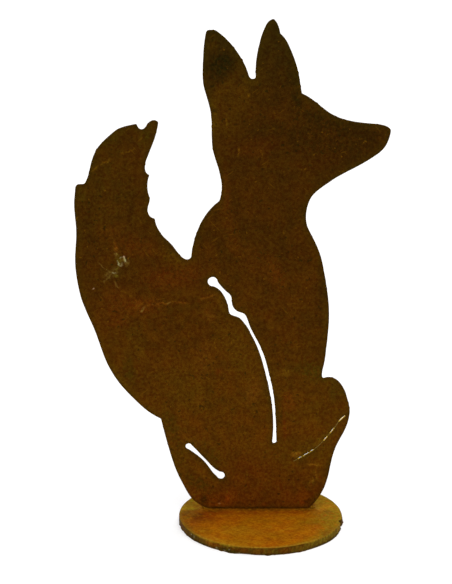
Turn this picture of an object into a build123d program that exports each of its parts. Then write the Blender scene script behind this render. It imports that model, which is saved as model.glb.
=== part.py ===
from build123d import *

import os

# Garden figure: a seated fox cut from sheet steel, welded upright on a round steel base plate.
#
# Frame, in millimetres: the origin is the centre of the base plate's underside, +Z is up, +X is
# the way the fox looks, and -Y is the side that is displayed. Outline points are (x, h), where h
# is the height above the base plate's top face.

# Base plate
BASE_DIAMETER = 130
BASE_THICKNESS = 6
BASE_RIM_ROUND = 0.5
NICK_ANGLE = -13  # the torch left a nick in the rim where its cut began and ended
NICK_RADIUS = 3.5
NICK_DEPTH = 2

# Fox sheet
SHEET_THICKNESS = 2
SHEET_SETBACK = 10  # from the base plate's centre back to the sheet's front face

# Weld beads, one at each end of the contact edge, laid behind the sheet and round its ends
CONTACT_LEFT = (-41, 0)
CONTACT_RIGHT = (39, 0)
LEFT_WELD_LEG = 3.5
LEFT_WELD_SPAN = (-43.5, -28.5)  # between the centres of the bead's round ends
RIGHT_WELD_LEG = 3
RIGHT_WELD_SPAN = (29, 42)

# The fox's outline, clockwise from the left end of the contact edge. Each stretch runs from the
# last corner, through its points, to its own corner, which is rounded to the radius given.
OUTLINE = (
    (
        "left haunch",
        1.5,
        [(-49, 3.6), (-55.5, 9.4), (-60, 17), (-65.8, 29), (-74, 55), (-76.3, 64), (-79.2, 76.5)],
    ),
    (
        "tail, outer edge",
        3,
        [(-85, 79.6), (-100, 92.7), (-113.5, 108.8), (-122, 125), (-129.8, 148.6), (-139.3, 173),
         (-142.8, 190), (-143.9, 203), (-142.4, 229), (-143.4, 249), (-142.5, 259), (-141.9, 264.4)],
    ),
    ("tail, shelf", 2.5, [(-135.2, 264.4)]),
    (
        "tail, crown",
        1.2,
        [(-132.3, 271), (-128.7, 284), (-124, 293), (-117.5, 299.7), (-108, 306.8), (-101, 309),
         (-94.3, 310.3)],
    ),
    (
        "tail, tip",
        0.8,
        [(-93.5, 307.3), (-91, 306.1), (-88.3, 307.8), (-86, 311), (-82.6, 312.9), (-78.4, 311.3)],
    ),
    (
        "tail, upper inner edge",
        0.6,
        [(-79.5, 305.5), (-82.3, 296.5), (-87, 285), (-89, 277), (-88.4, 273.8), (-85.6, 271.3)],
    ),
    (
        "tail, tufts",
        1,
        [(-87.3, 263), (-86.8, 257.5), (-85.7, 252.5), (-87.4, 245), (-86.6, 240.8), (-82.1, 237.8)],
    ),
    (
        "tail, lower inner edge",
        1,
        [(-79.4, 229.2), (-75, 223), (-69.5, 217.6), (-62.6, 208.6), (-57.5, 205.6), (-54.4, 207.4)],
    ),
    ("back", 2.5, [(-53, 216.5), (-47.4, 233), (-41, 243.3), (-32.8, 251.1)]),
    (
        "nape and far ear, rear edge",
        2.5,
        [(-30.8, 262.5), (-33.2, 276), (-37.9, 293.5), (-38.3, 307.5), (-40, 323.5), (-44.4, 339.5),
         (-44.8, 354), (-43.7, 370), (-42, 379.7)],
    ),
    ("far ear, tip", 5, [(-35.5, 379.7)]),
    ("far ear, front edge", 1.6, [(-28, 373.8), (-19, 363.4), (-12.5, 352), (-9.8, 343.8)]),
    ("between the ears", 1.6, [(-5.2, 343.8)]),
    ("near ear, rear edge", 1.5, [(-5.1, 357), (-2.5, 370.5), (1.2, 381.5), (4.2, 386), (8, 387.8)]),
    ("near ear, tip", 1, [(11.2, 382.8), (12.8, 377)]),
    ("near ear, front edge", 1.5, [(15.2, 374.8), (20.7, 365.3), (26, 350.8), (28.3, 339), (29.3, 333)]),
    (
        "brow and muzzle",
        2.5,
        [(40, 326.5), (51, 318.2), (64, 313), (76, 311), (88, 309.8), (93.5, 308.4), (96.8, 306)],
    ),
    (
        "chin, throat and chest",
        1.2,
        [(95.4, 298.8), (92, 292), (84, 285.2), (73.5, 278.8), (58, 270.5), (47, 263.1),
         (38, 254.9), (34, 243), (34.6, 232.8), (38, 225.3), (44.8, 210.5), (48.8, 194),
         (52.2, 172), (52.8, 156), (51.2, 136), (49.6, 122), (48.2, 112.5), (48.8, 109.4)],
    ),
    (
        "right haunch",
        0,
        [(53.5, 110.7), (58.5, 109.4), (64, 104), (68.6, 93), (70.6, 83.5), (69.7, 75),
         (67.2, 67.5), (60.7, 54), (56.3, 38), (53.6, 24.5), (49.5, 13.8), (44, 5.3), CONTACT_RIGHT],
    ),
)

# The long slot that marks the shoulder and flank: a round pierced hole, the slot's right edge
# going down from it, a rounded end, and the left edge coming back up.
LONG_SLOT_HOLE = (-37.8, 188.1)
LONG_SLOT_HOLE_RADIUS = 3.8
LONG_SLOT_RIGHT = [
    (-34.6, 189.5), (-32.4, 186), (-27.2, 180.4), (-23.9, 177), (-22.6, 169.5), (-18, 164.2),
    (-14, 162.8), (-10, 155.5), (0, 134.6), (5, 119.2), (8.7, 104), (11.4, 84), (12.3, 68), (12.7, 57.5),
]
LONG_SLOT_END = (11, 55.4)
LONG_SLOT_LEFT = [
    (9.4, 57.5), (10.1, 71), (9.4, 84), (6.7, 100.5), (3, 116.5), (-2, 133), (-6.3, 142.8),
    (-11, 151.2), (-19, 159.9), (-24.3, 162.2), (-25.6, 167), (-28.3, 175.3), (-31.2, 180),
    (-37.8, 184.4),
]

# The short slot that marks the left thigh: two pierced holes and the bowed band between them.
SHORT_SLOT_UPPER_HOLE = (-57.2, 53.1)
SHORT_SLOT_UPPER_RADIUS = 2.6
SHORT_SLOT_LOWER_HOLE = (-31.7, 28.4)
SHORT_SLOT_LOWER_RADIUS = 3.2
SHORT_SLOT_TOP_EDGE = [(-55.3, 54.7), (-50, 49), (-42, 40), (-35, 33.2), (-31.6, 31.3)]
SHORT_SLOT_BOTTOM_EDGE = [(-34.3, 26.9), (-37.6, 30.2), (-42, 36.5), (-50, 45), (-58.5, 51)]

# The scored line that marks the right thigh. It is a shallow groove, cut right through in slits.
SCORE_WIDTH = 0.7
SCORE_DEPTH = 0.5
SCORE_LINE = [
    (67, 78.9), (62.2, 74.4), (58.3, 68.4), (55.3, 64.5), (50.6, 58.5), (42.1, 50.2), (34.5, 45.3),
    (26.4, 40.7),
]
SLIT_WIDTH = 0.9
SLITS = (
    ((66.8, 78.8), (62.4, 74.5)),
    ((58.2, 68.3), (55.5, 64.7)),
    ((52.9, 61.3), (50.6, 58.5)),
    ((42.1, 50.2), (40.1, 48.7)),
    ((38.6, 47.8), (34.5, 45.3)),
    ((32.5, 44.1), (30.5, 43)),
)

os.makedirs("parts", exist_ok=True)

# The sheet's rear face, seen from the front: sketches on it have x along +X and y up
sheet_rear = Plane(
    origin=(0, SHEET_SETBACK + SHEET_THICKNESS, BASE_THICKNESS), x_dir=(1, 0, 0), z_dir=(0, -1, 0)
)

with BuildPart() as fox_silhouette:
    with BuildSketch(sheet_rear):
        with BuildLine():
            corner = CONTACT_LEFT
            for _, _, points in OUTLINE:
                Spline(corner, *points)
                corner = points[-1]
            Line(CONTACT_RIGHT, CONTACT_LEFT)
        make_face()
    extrude(amount=SHEET_THICKNESS)

    # Round the corners of the outline before the slots add edges of their own
    for _, radius, points in OUTLINE:
        if radius:
            corner_edges = fox_silhouette.edges().filter_by(Axis.Y)
            at_corner = sheet_rear.from_local_coords(Vector(*points[-1]))
            fillet(corner_edges.sort_by_distance(at_corner)[0], radius)

    with BuildSketch(sheet_rear):
        with BuildLine():
            Spline(*LONG_SLOT_RIGHT)
            ThreePointArc(LONG_SLOT_RIGHT[-1], LONG_SLOT_END, LONG_SLOT_LEFT[0])
            Spline(*LONG_SLOT_LEFT)
            Line(LONG_SLOT_LEFT[-1], LONG_SLOT_RIGHT[0])
        make_face()
        with Locations(LONG_SLOT_HOLE):
            Circle(LONG_SLOT_HOLE_RADIUS)
    extrude(amount=SHEET_THICKNESS, mode=Mode.SUBTRACT)

    with BuildSketch(sheet_rear):
        with BuildLine():
            Spline(*SHORT_SLOT_TOP_EDGE)
            Line(SHORT_SLOT_TOP_EDGE[-1], SHORT_SLOT_BOTTOM_EDGE[0])
            Spline(*SHORT_SLOT_BOTTOM_EDGE)
            Line(SHORT_SLOT_BOTTOM_EDGE[-1], SHORT_SLOT_TOP_EDGE[0])
        make_face()
        with Locations(SHORT_SLOT_UPPER_HOLE):
            Circle(SHORT_SLOT_UPPER_RADIUS)
        with Locations(SHORT_SLOT_LOWER_HOLE):
            Circle(SHORT_SLOT_LOWER_RADIUS)
    extrude(amount=SHEET_THICKNESS, mode=Mode.SUBTRACT)

    with BuildSketch(sheet_rear.offset(SHEET_THICKNESS)):
        with BuildLine():
            Spline(*SCORE_LINE)
        trace(line_width=SCORE_WIDTH)
    extrude(amount=-SCORE_DEPTH, mode=Mode.SUBTRACT)

    with BuildSketch(sheet_rear):
        for slit_start, slit_end in SLITS:
            with BuildLine():
                Line(slit_start, slit_end)
            trace(line_width=SLIT_WIDTH)
    extrude(amount=SHEET_THICKNESS, mode=Mode.SUBTRACT)

with BuildPart() as base_plate:
    with BuildSketch():
        Circle(BASE_DIAMETER / 2)
        with PolarLocations(BASE_DIAMETER / 2 + NICK_RADIUS - NICK_DEPTH, 1, start_angle=NICK_ANGLE):
            Circle(NICK_RADIUS, mode=Mode.SUBTRACT)
    extrude(amount=BASE_THICKNESS)
    fillet(base_plate.edges().group_by(Axis.Z)[-1], BASE_RIM_ROUND)

# A bead is a round-ended bar of weld metal along the foot of the sheet's rear face. The base
# plate, the sheet's front face and the sheet itself cut it down to what lies against them.
WELDS = (
    ("left_weld", LEFT_WELD_LEG, LEFT_WELD_SPAN),
    ("right_weld", RIGHT_WELD_LEG, RIGHT_WELD_SPAN),
)
welds = []
for weld_name, leg, span in WELDS:
    foot = [(x, SHEET_SETBACK + SHEET_THICKNESS, BASE_THICKNESS) for x in span]
    with BuildPart() as weld:
        with Locations(Plane(origin=foot[0], z_dir=(1, 0, 0))):
            Cylinder(leg, span[1] - span[0], align=(Align.CENTER, Align.CENTER, Align.MIN))
        with Locations(*foot):
            Sphere(leg)
        split(bisect_by=Plane.XY.offset(BASE_THICKNESS))
        split(bisect_by=Plane.XZ.offset(-SHEET_SETBACK), keep=Keep.BOTTOM)
        add(fox_silhouette.part, mode=Mode.SUBTRACT)
    weld.part.label = weld_name
    welds.append(weld.part)

fox_silhouette.part.label = "fox_silhouette"
base_plate.part.label = "base_plate"
for piece in (fox_silhouette.part, base_plate.part, *welds):
    export_step(piece, f"parts/{piece.label}.step")
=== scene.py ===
"""Looks of the garden figure: a seated fox cut from rusted sheet steel, welded upright on a round plate.

Lengths are in metres, except where a comment says millimetres, and the frame is the CAD model's: +Z up,
+X the way the fox looks, -Y the side that is displayed. A cut plate is described flat, as (u, v) on its
display face with a depth below that face.
"""

import math
import random

import bmesh
import bpy
import numpy as np
from mathutils import Euler, Matrix, Vector, geometry, kdtree, noise


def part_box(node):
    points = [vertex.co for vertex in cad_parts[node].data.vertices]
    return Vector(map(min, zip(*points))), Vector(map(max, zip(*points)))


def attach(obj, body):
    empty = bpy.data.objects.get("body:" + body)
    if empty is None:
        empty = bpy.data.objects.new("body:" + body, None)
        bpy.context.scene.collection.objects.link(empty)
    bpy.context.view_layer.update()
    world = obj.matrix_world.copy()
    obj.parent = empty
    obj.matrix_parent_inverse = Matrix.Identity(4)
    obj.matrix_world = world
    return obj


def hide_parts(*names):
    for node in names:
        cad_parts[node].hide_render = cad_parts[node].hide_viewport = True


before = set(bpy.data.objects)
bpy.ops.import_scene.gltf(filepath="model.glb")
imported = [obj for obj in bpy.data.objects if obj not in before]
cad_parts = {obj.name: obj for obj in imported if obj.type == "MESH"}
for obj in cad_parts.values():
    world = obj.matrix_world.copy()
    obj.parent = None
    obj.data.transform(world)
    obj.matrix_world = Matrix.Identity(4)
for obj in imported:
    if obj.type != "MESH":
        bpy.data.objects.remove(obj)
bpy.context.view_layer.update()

MM = 0.001

# Where the CAD pieces are
fox_low, fox_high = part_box("fox_silhouette")
base_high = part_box("base_plate")[1]
SHEET_FRONT = fox_low.y
SHEET_THICKNESS = fox_high.y - fox_low.y
BASE_TOP = base_high.z
BASE_RADIUS = base_high.y

# The camera, at the photograph's place and angle
CAMERA_PLACE = (-0.0275, -1.0, 0.4353)
CAMERA_TILT = 13.86  # degrees below the horizon
CAMERA_LENS = 82.74  # millimetres, on a sensor of SENSOR_WIDTH
SENSOR_WIDTH = 36


# ---------------------------------------------------------------- flat outlines

SHARP_TURN = 35  # degrees that an outline turns by at a corner that stays sharp
FOOT_TURN = 10  # degrees that are enough for a corner at the outline's foot
CURVE_PARTS = 6  # steps that a smooth curve takes from one of its points to the next


def cut_loops(node, axis, level):
    """The closed outlines of a CAD node's flat face at a level along an axis, as (u, v) arrays, the
    largest first. They run so that the plate's material is on their left."""
    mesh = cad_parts[node].data
    flat_axes = [a for a in range(3) if a != axis]
    place = {}
    index = []
    for vertex in mesh.vertices:
        key = tuple(round(c / MM, 3) for c in vertex.co)
        index.append(place.setdefault(key, len(place)))
    points = np.array([key for key in place]) * MM
    flat = np.abs(points[:, axis] - level) < 0.002 * MM
    edges = set()
    for polygon in mesh.polygons:
        corners = [index[v] for v in polygon.vertices]
        if all(flat[c] for c in corners):
            edges.update(zip(corners, corners[1:] + corners[:1]))
    follows = {a: b for a, b in edges if (b, a) not in edges}
    loops = []
    while follows:
        start, here = follows.popitem()
        loop = [start]
        while here != start:
            loop.append(here)
            here = follows.pop(here)
        loops.append(points[loop][:, flat_axes])
    loops.sort(key=lambda loop: -abs(loop_area(loop)))
    outward = 1 if loop_area(loops[0]) > 0 else -1
    return [loop[::outward] for loop in loops]


def loop_area(loop):
    u, v = loop.T
    return 0.5 * float(np.sum(u * np.roll(v, -1) - np.roll(u, -1) * v))


def even_spacing(loop, spacing):
    """The loop's smooth curve through its points, sampled evenly; sharp corners stay where they are."""
    step = np.roll(loop, -1, 0) - loop
    heading = np.degrees(np.arctan2(step[:, 1], step[:, 0]))
    turn = np.abs((heading - np.roll(heading, 1) + 180) % 360 - 180)
    at_foot = loop[:, 1] < loop[:, 1].min() + 0.01 * MM
    corners = [i for i in range(len(loop)) if turn[i] > (FOOT_TURN if at_foot[i] else SHARP_TURN)]
    if corners:
        loop = np.roll(loop, -corners[0], 0)
        corners = [i - corners[0] for i in corners] + [len(loop)]
    else:
        corners = [0, len(loop)]
    closed = np.vstack([loop, loop[:1]])
    sampled = []
    for first, last in zip(corners, corners[1:]):
        run = closed[first : last + 1]
        if len(corners) == 2 and len(loop) > 4:
            before, after = loop[-1], loop[1]
        else:
            before, after = 2 * run[0] - run[1], 2 * run[-1] - run[-2]
        fine = smooth_run(np.vstack([before, run, after]))
        reach = np.concatenate([[0], np.cumsum(np.hypot(*np.diff(fine, axis=0).T))])
        count = max(1, round(reach[-1] / spacing))
        at = np.linspace(0, reach[-1], count + 1)[:-1]
        sampled.append(np.column_stack([np.interp(at, reach, fine[:, k]) for k in (0, 1)]))
    return np.vstack(sampled)


def smooth_run(points):
    """A centripetal Catmull-Rom curve through all but the first and last of the points."""
    knots = np.concatenate([[0], np.cumsum(np.hypot(*np.diff(points, axis=0).T) ** 0.5 + 1e-9)])
    curve = []
    for i in range(1, len(points) - 2):
        t0, t1, t2, t3 = knots[i - 1 : i + 3]
        p0, p1, p2, p3 = points[i - 1 : i + 3]
        for t in np.linspace(t1, t2, CURVE_PARTS, endpoint=False):
            a1 = ((t1 - t) * p0 + (t - t0) * p1) / (t1 - t0)
            a2 = ((t2 - t) * p1 + (t - t1) * p2) / (t2 - t1)
            a3 = ((t3 - t) * p2 + (t - t2) * p3) / (t3 - t2)
            b1 = ((t2 - t) * a1 + (t - t0) * a2) / (t2 - t0)
            b2 = ((t3 - t) * a2 + (t - t1) * a3) / (t3 - t1)
            curve.append(((t2 - t) * b1 + (t - t1) * b2) / (t2 - t1))
    curve.append(points[-2])
    return np.array(curve)


def relaxed(loop, rounds):
    """The loop with its corners eased by averaging each point with its neighbours."""
    for _ in range(rounds):
        loop = 0.5 * loop + 0.25 * (np.roll(loop, 1, 0) + np.roll(loop, -1, 0))
    return loop


def inward(loop):
    """Unit vectors at the loop's points, into the material on its left."""
    along = np.roll(loop, -1, 0) - np.roll(loop, 1, 0)
    along /= np.maximum(np.hypot(*along.T), 1e-12)[:, None]
    return np.column_stack([-along[:, 1], along[:, 0]])


def inside(points, loops):
    """Which points lie in the material that the loops bound."""
    result = np.zeros(len(points), bool)
    u, v = points.T
    for loop in loops:
        for (u0, v0), (u1, v1) in zip(loop, np.roll(loop, -1, 0)):
            if v0 != v1:
                crosses = (v0 > v) != (v1 > v)
                result ^= crosses & (u < (u1 - u0) * (v - v0) / (v1 - v0) + u0)
    return result


def distance_to(points, loop):
    """Each point's distance to a loop's segments."""
    nearest = np.full(len(points), 1e9)
    for start, end in zip(loop, np.roll(loop, -1, 0)):
        side = end - start
        share = np.clip((points - start) @ side / max(side @ side, 1e-18), 0, 1)
        nearest = np.minimum(nearest, np.hypot(*(points - start - share[:, None] * side).T))
    return nearest


def triangular_grid(low, high, pitch):
    """Points of a grid of equal triangles over a rectangle."""
    rows = np.arange(low[1], high[1], pitch * math.sqrt(3) / 2)
    columns = np.arange(low[0], high[0], pitch)
    return np.vstack([np.column_stack([columns + (k % 2) * pitch / 2, np.full(len(columns), row)])
                      for k, row in enumerate(rows)])


# ---------------------------------------------------------------- cut plates

FINE_PITCH = 0.35 * MM  # spacing of a face's points where it needs the finest
LEAN_REACH = 4 * MM  # how far in from the cut the back of a plate follows the cut's slope

# The fox's sheet
SLIT_AREA = 8 * MM * MM  # the scored line's slits are smaller than this, and the two slots are larger
SCORE_PLACE = (0.05, 0.07)  # beside the scored line, to tell its outline from the slots'
SCORE_DEPTH = 0.5  # millimetres
SHEET_SPACING = 0.7 * MM
SLIT_SPACING = 0.25 * MM

# The base plate
RIM_SPACING = 0.36 * MM
RIM_STEP = 0.45 * MM  # down the rim

# The cut's slag and slips round the plate's lower edge: angle and half width in degrees, and how far
# it stands out in millimetres
RIM_LUMPS = (
    (-37, 11, 1.2), (-2, 6, 0.9), (-86, 1.6, 1.1), (-101, 5, -0.8), (-112, 4, 0.7), (-165, 7, -0.4),
    (-62, 17, 0.9), (-24, 8, 0.5), (35, 9, 0.6), (78, 6, 0.8), (140, 12, 0.7),
)
RIM_DRAG_PITCH = 1.5  # millimetres between the torch's lines on the rim


def ripple(x, y, z, size, seed=0.0):
    """Smooth noise from -1 to 1 whose bumps are about size across."""
    return noise.noise(Vector((x / size + seed, y / size - seed, z / size + 2 * seed)))


def ripples(x, y, z, *layers):
    """The sum of layers of ripple, each given by its height and its size, both in millimetres."""
    return sum(height * ripple(x, y, z, size * MM) for height, size in layers)


def edge_profile(thickness, rounding, spacing):
    """The rings of points down a cut, front to back, as distances in from the outline and depths."""
    arc = [(rounding * (1 - math.sin(a)), rounding * (1 - math.cos(a)))
           for a in np.linspace(0, math.pi / 2, 4)]
    wall_steps = max(2, round((thickness - 2 * rounding) / (1.2 * spacing)))
    wall = [(0, d) for d in np.linspace(rounding, thickness - rounding, wall_steps + 1)[1:-1]]
    return arc + wall + [(inset, thickness - d) for inset, d in reversed(arc)]


def face_points(loops, gap, rounding, spacing, pitch, fine_near):
    """Points over a plate's face, clear of its rounded edges: a grid, and two bands along the cut.
    gap(points) is their distance from the outlines. The places that fine_near picks get a finer grid."""
    low, high = loops[0].min(0), loops[0].max(0)
    grid = triangular_grid(low, high, pitch)
    grid = grid[inside(grid, loops)]
    chosen = [grid[gap(grid) > 0.8 * pitch + rounding]]
    for inset, every in ((rounding + 0.5 * spacing, 1), (rounding + 1.4 * spacing, 2)):
        band = np.vstack([(loop + inward(loop) * inset)[::every] for loop in loops])
        chosen.append(band[(gap(band) > 0.9 * inset) & inside(band, loops)])
    if fine_near:
        close = triangular_grid(low, high, FINE_PITCH)
        close = close[fine_near(close)]
        close = close[inside(close, loops)]
        chosen = [points[~fine_near(points)] for points in chosen]
        chosen.append(close[gap(close) > rounding + 0.15 * MM])
    return np.vstack(chosen)


def face_triangles(ring_points, ring_counts, inner):
    """Triangles over a plate's face, as indices into its cut's ring points and then the inner points."""
    # Rounded as the triangulation holds them, so that the thinnest triangles are judged alike
    points = (np.vstack([ring_points, inner]) / MM).astype(np.float32).astype(float)
    borders, outlines = [], []
    start = 0
    for count in ring_counts:
        borders += [(start + i, start + (i + 1) % count) for i in range(count)]
        outlines.append(points[start : start + count])
        start += count
    made = geometry.delaunay_2d_cdt([Vector(p) for p in points], borders, [], 0, 1e-5)
    source = [origins[0] for origins in made[3]]
    triangles = np.array([[source[c] for c in face] for face in made[2]])
    on_border = (triangles < len(ring_points)).all(1)
    keep = ~on_border
    keep[on_border] = inside(points[triangles[on_border]].mean(1), outlines)
    return triangles[keep]


def cut_plate(name, loops, thickness, to_space, rounding, spacing, pitch, edge, relief, fine_near=None):
    """A torch-cut plate as one closed mesh.

    loops are its outlines, and to_space(u, v, depth) places a point. rounding is the radius worn on
    its edges. spacing sets the steps down the cut and the bands of points along it, and pitch is the
    spacing of the other points on the faces.
    edge(loop number, distance along, depth share, u, v) is how far the cut stands out there.
    relief(points, depths) is how far behind its plane each point of a face lies.
    fine_near(points) picks the places that need closer points.
    The mesh's attributes tell the materials how near the cut is and where a point of the cut lies."""
    rings = edge_profile(thickness, rounding, spacing)
    flats, depths, alongs, fronts, backs, faces = [], [], [], [], [], []
    total = 0
    for number, loop in enumerate(loops):
        into = inward(loop)
        reach = np.concatenate([[0], np.cumsum(np.hypot(*np.diff(loop, axis=0).T))])
        count = len(loop)
        for inset, depth in rings:
            out = np.array([edge(number, s, depth / thickness, u, v) for s, (u, v) in zip(reach, loop)])
            flats.append(loop + into * (inset - out)[:, None])
            depths.append(np.full(count, depth))
            alongs.append(reach)
        for ring in range(len(rings) - 1):
            here = total + ring * count
            for i in range(count):
                j = (i + 1) % count
                faces.append((here + i, here + count + i, here + count + j, here + j))
        fronts.append(np.arange(total, total + count))
        total += len(rings) * count
        backs.append(np.arange(total - count, total))
    cut_points = np.vstack(flats)
    front, back = np.concatenate(fronts), np.concatenate(backs)

    edge_tree = kdtree.KDTree(len(front))
    for i, point in enumerate(np.vstack(loops)):
        edge_tree.insert((*point, 0), i)
    edge_tree.balance()

    def gap(points):
        return np.array([edge_tree.find((*p, 0))[2] for p in points])

    inner = face_points(loops, gap, rounding, spacing, pitch, fine_near)
    inner_gap = gap(inner)
    blank = np.zeros(len(inner))

    # Near the cut, the back's points follow its edge where it stands out or in from the front's
    lean = cut_points[back] - cut_points[front]
    nearest = [edge_tree.find((*p, 0))[1] for p in inner]
    follow = np.clip(1 - inner_gap / LEAN_REACH, 0, 1)[:, None]
    flat = np.vstack([cut_points, inner, inner + lean[nearest] * follow])
    depth = np.concatenate([*depths, blank, blank + thickness])
    along = np.concatenate([*alongs, blank, blank])
    near = np.concatenate([np.zeros(total), inner_gap, inner_gap])
    on_cut = np.minimum(depth, thickness - depth) > 0.3 * rounding

    on_front = np.concatenate([front, total + np.arange(len(inner))])
    on_back = np.concatenate([back, total + len(inner) + np.arange(len(inner))])
    for triangle in face_triangles(cut_points[front], [len(loop) for loop in loops], inner):
        faces.append(on_front[triangle].tolist())
        faces.append(on_back[triangle[::-1]].tolist())

    mesh = bpy.data.meshes.new(name)
    places = [to_space(u, v, d + behind) for (u, v), d, behind in zip(flat, depth, relief(flat, depth))]
    mesh.from_pydata(places, [], faces)
    mesh.update()
    for label, values in (
        ("edge_gap", near),
        ("edge_along", along),
        ("depth_share", depth / thickness),
        ("cut_face", on_cut),
    ):
        mesh.attributes.new(label, "FLOAT", "POINT").data.foreach_set("value", values.astype(np.float32))
    mesh.shade_smooth()
    piece = bpy.data.objects.new(name, mesh)
    bpy.context.scene.collection.objects.link(piece)
    return piece


def fox_sheet():
    """The fox: a slightly bowed sheet with waves and dross on its cuts and a scored line on its front."""
    loops = cut_loops("fox_silhouette", 1, SHEET_FRONT + SHEET_THICKNESS)
    slots_end = sum(abs(loop_area(loop)) >= SLIT_AREA for loop in loops)
    evened = [even_spacing(loop, SHEET_SPACING) for loop in loops[:slots_end]]
    evened += [relaxed(even_spacing(loop, SLIT_SPACING), 3) for loop in loops[slots_end:]]
    front_holes = cut_loops("fox_silhouette", 1, SHEET_FRONT)[1:]
    score = min(front_holes, key=lambda loop: distance_to(np.array([SCORE_PLACE]), loop)[0])
    foot = loops[0][:, 1].min()

    def near_score(points):
        box = (points >= score.min(0) - 2 * MM).all(1) & (points <= score.max(0) + 2 * MM).all(1)
        close = np.zeros(len(points), bool)
        close[box] = (distance_to(points[box], score) < 0.6 * MM) | inside(points[box], [score])
        return close

    def scored(points):
        """How far into the scored line each point lies, from 0 beside it to 1 on its floor."""
        share = np.zeros(len(points))
        close = near_score(points)
        within = np.where(inside(points[close], [score]), 1, -1) * distance_to(points[close], score)
        share[close] = np.clip((within + 0.1 * MM) / (0.4 * MM), 0, 1)
        return share * share * (3 - 2 * share)

    def edge(number, along, share, u, v):
        if number >= slots_end:
            # The slits are nearly closed, the upper ones further
            closing = 0.1 + 0.09 * min(max((v / MM - 58) / 8, 0), 1)
            return (closing + 0.05 * ripple(along, number, share, 1.2 * MM)) * MM
        wave = 0.1 * ripple(along, number, 0, 7 * MM)
        wave += 0.05 * ripple(along, number, share * SHEET_THICKNESS, 2 * MM)
        dross = max(0, ripple(along, number, 3, 2.6 * MM, 0.4) - 0.25) * max(0, (share - 0.55) / 0.45)
        return (wave + 1.1 * dross) * MM

    def relief(points, depths):
        bow = np.array([ripples(u, v, 0, (0.35, 150), (0.06, 22)) for u, v in points])
        bow *= np.clip((points[:, 1] - foot) / (60 * MM), 0, 1)
        scale = np.array([ripples(u, 8 * d, v, (0.035, 4), (0.02, 1.9))
                          for (u, v), d in zip(points, depths)])
        outward = np.where(depths > SHEET_THICKNESS / 2, -1, 1)
        groove = SCORE_DEPTH * scored(points) * (1 - depths / SHEET_THICKNESS)
        return (bow + scale * outward + groove) * MM

    piece = cut_plate(
        "fox_sheet", evened, SHEET_THICKNESS, lambda u, v, d: (u, SHEET_FRONT + d, v),
        rounding=0.3 * MM, spacing=SHEET_SPACING, pitch=1.7 * MM,
        edge=edge, relief=relief, fine_near=near_score,
    )
    mesh = piece.data
    places = np.array([vertex.co for vertex in mesh.vertices])
    shares = np.zeros(len(places), np.float32)
    mesh.attributes["depth_share"].data.foreach_get("value", shares)
    bared = scored(places[:, (0, 2)]) * (1 - shares)
    mesh.attributes.new("scored", "FLOAT", "POINT").data.foreach_set("value", bared.astype(np.float32))
    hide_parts("fox_silhouette")
    return piece


def round_plate():
    """The base: a disc with rolled scale on its top, and torch lines, dross and slag down its rim."""
    loops = [even_spacing(loop, RIM_SPACING) for loop in cut_loops("base_plate", 2, 0)]

    def edge(number, along, share, u, v):
        wave = ripples(along, number, 0, (0.12, 14), (0.05, 4))
        lag = 2.5 * share * share
        drag = 0.09 * math.sin(2 * math.pi * (along / MM + lag) / RIM_DRAG_PITCH) * min(1, 4 * share)
        drag *= 0.6 + 0.8 * ripple(along, 5, 0, 9 * MM)
        dross = max(0, ripple(along, number, 3, 3.4 * MM, 0.7) - 0.05) * max(0, (share - 0.6) / 0.4)
        angle = math.degrees(math.atan2(v, u))
        lump = sum(out * math.exp(-(((angle - at) / half) ** 2)) for at, half, out in RIM_LUMPS)
        return (wave + drag + 1.5 * dross + lump * share ** 0.7) * MM

    def relief(points, depths):
        scale = np.array([ripples(u, v, 8 * d, (0.05, 6), (0.035, 2.4))
                          for (u, v), d in zip(points, depths)])
        return scale * np.where(depths > BASE_TOP / 2, 0, 1) * MM

    piece = cut_plate(
        "base_disc", loops, BASE_TOP, lambda u, v, d: (u, v, BASE_TOP - d),
        rounding=0.5 * MM, spacing=RIM_STEP, pitch=1.3 * MM, edge=edge, relief=relief,
    )
    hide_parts("base_plate")
    return piece


# ---------------------------------------------------------------- welds


BEAD_CORE = 1.2 * MM  # the bead's metal nearer than this to the corner that it fills stays as it is
SPATTER_SPAN = (-0.043, 0.039)  # along X, where the balls on the sheet's rear face may sit


def weld_bead(node, crest_pitch):
    """The CAD bead, remeshed and given the crescent ripples of a hand-laid weld."""
    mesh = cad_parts[node].data.copy()
    piece = bpy.data.objects.new(node + "_bead", mesh)
    bpy.context.scene.collection.objects.link(piece)
    remesh = piece.modifiers.new("even", "REMESH")
    remesh.mode = "VOXEL"
    remesh.voxel_size = 0.25 * MM
    settled = bpy.context.evaluated_depsgraph_get()
    piece.data = bpy.data.meshes.new_from_object(piece.evaluated_get(settled))
    piece.modifiers.clear()
    corner_y, corner_z = SHEET_FRONT + SHEET_THICKNESS, BASE_TOP
    for vertex in piece.data.vertices:
        x, y, z = vertex.co
        out = Vector((0, y - corner_y, z - corner_z))
        round_it = math.atan2(z - corner_z, y - corner_y)
        crescent = 0.7 * math.sin(min(max(round_it, 0), math.pi))
        crest = abs(math.sin(math.pi * (x / crest_pitch + crescent))) ** 0.6
        if out.length > BEAD_CORE:
            swell = 0.5 * crest + ripples(x, y, z, (0.3, 4), (0.05, 1.3)) - 0.3
            vertex.co += out.normalized() * swell * MM
        vertex.co.z = max(vertex.co.z, corner_z - 0.05 * MM)
    piece.data.shade_smooth()
    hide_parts(node)
    return piece


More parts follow.
